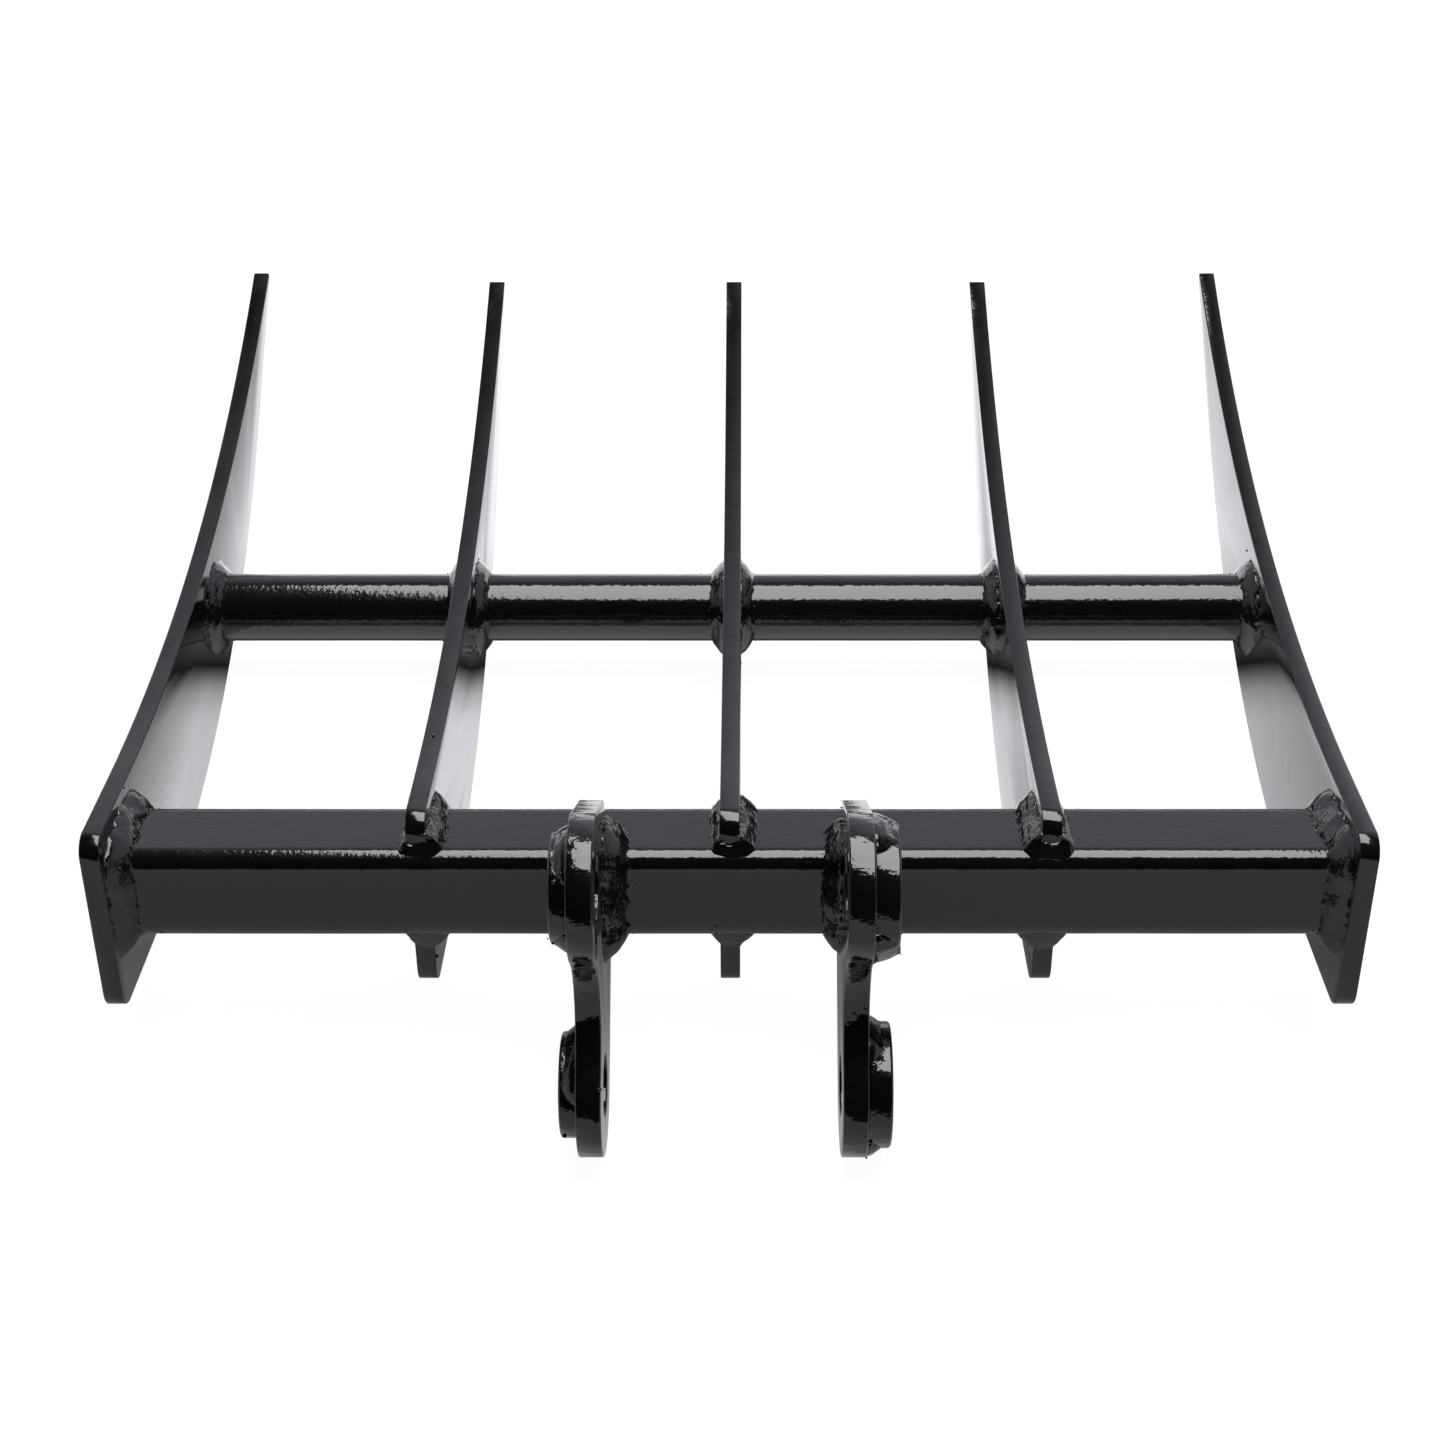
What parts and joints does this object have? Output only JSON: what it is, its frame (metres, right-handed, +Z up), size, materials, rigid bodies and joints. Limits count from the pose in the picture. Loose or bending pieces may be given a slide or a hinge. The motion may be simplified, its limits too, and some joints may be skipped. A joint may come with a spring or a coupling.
{
  "type": "excavator rake",
  "caption": "Welded digging rake for a mini excavator: curved plate tines on a square beam, a round cross tube and ears with bossed pin bores.",
  "frame": {"origin": "middle of the rake on the axis of the upper (dipper) pin's bores", "axes": "+X along the pins and the beam, to the right as seen from the ears; +Y level, towards the tips of the tines; +Z up, with the rake lying on its back on the ears' lower ends and the tines' bellies"},
  "size_m": [0.635, 0.6276, 0.1867],
  "materials": {
    "painted_plate": "gloss black enamel on cut plate",
    "painted_tube": "gloss black enamel on drawn tube",
    "painted_weld": "gloss black enamel over rough weld beads"
  },
  "bodies": {
    "root": {"main_beam": "painted_tube", "cross_tube": "painted_tube", "left_outer_tine": "painted_plate", "left_inner_tine": "painted_plate", "centre_tine": "painted_plate", "right_inner_tine": "painted_plate", "right_outer_tine": "painted_plate", "left_ear": "painted_plate", "right_ear": "painted_plate", "left_dipper_boss": "painted_plate", "left_link_boss": "painted_plate", "right_dipper_boss": "painted_plate", "right_link_boss": "painted_plate", "left_outer_tube_weld": "painted_weld", "left_inner_tube_weld": "painted_weld", "centre_tube_weld": "painted_weld", "right_inner_tube_weld": "painted_weld", "right_outer_tube_weld": "painted_weld", "left_inner_notch_weld": "painted_weld", "centre_notch_weld": "painted_weld", "right_inner_notch_weld": "painted_weld", "left_beam_end_weld": "painted_weld", "right_beam_end_weld": "painted_weld", "left_ear_weld": "painted_weld", "right_ear_weld": "painted_weld", "left_dipper_boss_weld": "painted_weld", "left_link_boss_weld": "painted_weld", "right_dipper_boss_weld": "painted_weld", "right_link_boss_weld": "painted_weld"}
  },
  "joints": []
}
